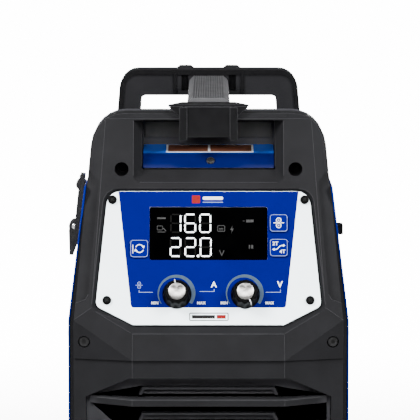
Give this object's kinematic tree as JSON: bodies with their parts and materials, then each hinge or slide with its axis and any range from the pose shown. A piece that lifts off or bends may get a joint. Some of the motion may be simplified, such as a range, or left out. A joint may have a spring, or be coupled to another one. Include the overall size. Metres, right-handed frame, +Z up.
{
  "type": "MIG welding machine",
  "caption": "Portable MIG welding machine with leaning control panel, carry handle, louvred front, torch connector and a latched side door over its wire spool and feeder.",
  "frame": {"origin": "middle of the footprint, at the height of the feet's undersides", "axes": "+X to the operator's right as they face the control panel, +Y from the control panel to the back, +Z up"},
  "size_m": [0.2093, 0.4676, 0.356],
  "materials": {
    "aluminium": "brushed",
    "black_plastic": "fine-textured moulded",
    "blue_paint": "gloss",
    "brass": "turned",
    "button_blue": "gloss",
    "circuit_board": "solder mask",
    "copper_wire": "copper-coated wire",
    "display_black": "gloss",
    "grip_grey": "matte ribbed",
    "knob_black": "satin",
    "rubber": "matte",
    "spool_plastic": "satin",
    "steel": "zinc plated",
    "white_plate": "printed film on sheet"
  },
  "bodies": {
    "chassis": {"base_pan": "steel", "cable_gland": "knob_black", "chin_screw_left": "steel", "chin_screw_right": "steel", "control_board": "circuit_board", "control_plate": "white_plate", "display_lens": "display_black", "divider_panel": "steel", "euro_connector": "brass", "fan_frame": "black_plastic", "feed_motor": "steel", "feed_plate": "aluminium", "foot_front_left": "rubber", "foot_front_right": "rubber", "foot_rear_left": "rubber", "foot_rear_right": "rubber", "front_frame": "black_plastic", "front_grille": "black_plastic", "gas_inlet": "brass", "handle_foot": "black_plastic", "handle_grip": "grip_grey", "heat_sink": "aluminium", "hinge_leaf": "steel", "hood_panel": "blue_paint", "inverter_board": "circuit_board", "latch_keeper": "steel", "negative_socket": "knob_black", "plate_screw_lower_left": "knob_black", "plate_screw_lower_right": "knob_black", "plate_screw_upper_left": "knob_black", "plate_screw_upper_right": "knob_black", "positive_socket": "knob_black", "power_switch_body": "knob_black", "rear_frame": "black_plastic", "rear_loop": "black_plastic", "spool_hub": "knob_black", "strap_stud": "knob_black", "top_cover": "blue_paint"},
    "door": {"spool_door": "blue_paint", "latch_base": "steel"},
    "latch_lever": {"latch_lever": "steel"},
    "latch_bail": {"latch_bail": "steel"},
    "wire_speed_dial": {"wire_speed_knob": "knob_black", "wire_speed_knob_cap": "aluminium", "wire_speed_pot_shaft": "aluminium"},
    "voltage_dial": {"voltage_knob": "knob_black", "voltage_knob_cap": "aluminium", "voltage_pot_shaft": "aluminium"},
    "process_key": {"process_button": "button_blue"},
    "wire_inch_key": {"wire_inch_button": "button_blue"},
    "trigger_mode_key": {"trigger_mode_button": "button_blue"},
    "reel": {"wire_spool": "spool_plastic", "wire_coil": "copper_wire"},
    "reel_nut": {"hub_nut": "knob_black"},
    "drive_wheel": {"drive_roll": "steel"},
    "pressure_wheel": {"pressure_roll": "steel"},
    "pressure_lever": {"pressure_arm": "knob_black"},
    "tension_screw": {"tension_knob": "knob_black"},
    "fan_wheel": {"fan_rotor": "black_plastic"},
    "rocker": {"power_switch_rocker": "knob_black"}
  },
  "joints": [
    {"name": "door_hinge", "type": "hinge", "parent": "chassis", "child": "door", "pos_m": [-0.1046, 0.0056, 0.0424], "axis": [0, 1, 0], "range_deg": [-95, 0]},
    {"name": "latch_lever_hinge", "type": "hinge", "parent": "door", "child": "latch_lever", "pos_m": [-0.10228, -0.0304, 0.24466], "axis": [0, 1, 0], "range_deg": [0, 150]},
    {"name": "latch_bail_hinge", "type": "hinge", "parent": "latch_lever", "child": "latch_bail", "pos_m": [-0.10108, -0.0304, 0.23645], "axis": [0, 1, 0], "range_deg": [-150, 0]},
    {"name": "wire_speed_dial_turn", "type": "hinge", "parent": "chassis", "child": "wire_speed_dial", "pos_m": [-0.0227, -0.20852, 0.21236], "axis": [0, -0.9511, 0.309], "range_deg": [-160, 140]},
    {"name": "voltage_dial_turn", "type": "hinge", "parent": "chassis", "child": "voltage_dial", "pos_m": [0.0265, -0.20852, 0.21236], "axis": [0, -0.9511, 0.309], "range_deg": [0, 300]},
    {"name": "process_key_press", "type": "slide", "parent": "chassis", "child": "process_key", "axis": [0, 0.9511, -0.309], "range_m": [0, 0.001], "stiffness_N_per_m": 1500},
    {"name": "wire_inch_key_press", "type": "slide", "parent": "chassis", "child": "wire_inch_key", "axis": [0, 0.9511, -0.309], "range_m": [0, 0.001], "stiffness_N_per_m": 1500},
    {"name": "trigger_mode_key_press", "type": "slide", "parent": "chassis", "child": "trigger_mode_key", "axis": [0, 0.9511, -0.309], "range_m": [0, 0.001], "stiffness_N_per_m": 1500},
    {"name": "reel_spin", "type": "hinge", "parent": "chassis", "child": "reel", "pos_m": [-0.034, 0.0256, 0.15], "axis": [1, 0, 0], "continuous": true},
    {"name": "reel_nut_turn", "type": "hinge", "parent": "chassis", "child": "reel_nut", "pos_m": [-0.068, 0.0256, 0.15], "axis": [1, 0, 0], "range_deg": [-90, 0]},
    {"name": "drive_wheel_spin", "type": "hinge", "parent": "chassis", "child": "drive_wheel", "pos_m": [-0.032, -0.1004, 0.037], "axis": [1, 0, 0], "continuous": true},
    {"name": "pressure_lever_hinge", "type": "hinge", "parent": "chassis", "child": "pressure_lever", "pos_m": [-0.043, -0.1284, 0.076], "axis": [1, 0, 0], "range_deg": [0, 25]},
    {"name": "pressure_wheel_spin", "type": "hinge", "parent": "pressure_lever", "child": "pressure_wheel", "pos_m": [-0.032, -0.1004, 0.0653], "axis": [1, 0, 0], "continuous": true},
    {"name": "tension_screw_turn", "type": "hinge", "parent": "pressure_lever", "child": "tension_screw", "pos_m": [-0.043, -0.0784, 0.09], "axis": [0, 0, 1], "continuous": true},
    {"name": "fan_spin", "type": "hinge", "parent": "chassis", "child": "fan_wheel", "pos_m": [0.042, 0.1901, 0.15], "axis": [0, 1, 0], "continuous": true},
    {"name": "rocker_tilt", "type": "hinge", "parent": "chassis", "child": "rocker", "pos_m": [-0.045, 0.2086, 0.25], "axis": [1, 0, 0], "range_deg": [-8, 8]}
  ],
  "couplings": [
    {"joint": "latch_bail_hinge", "follows": "latch_lever_hinge", "ratio": -1}
  ]
}
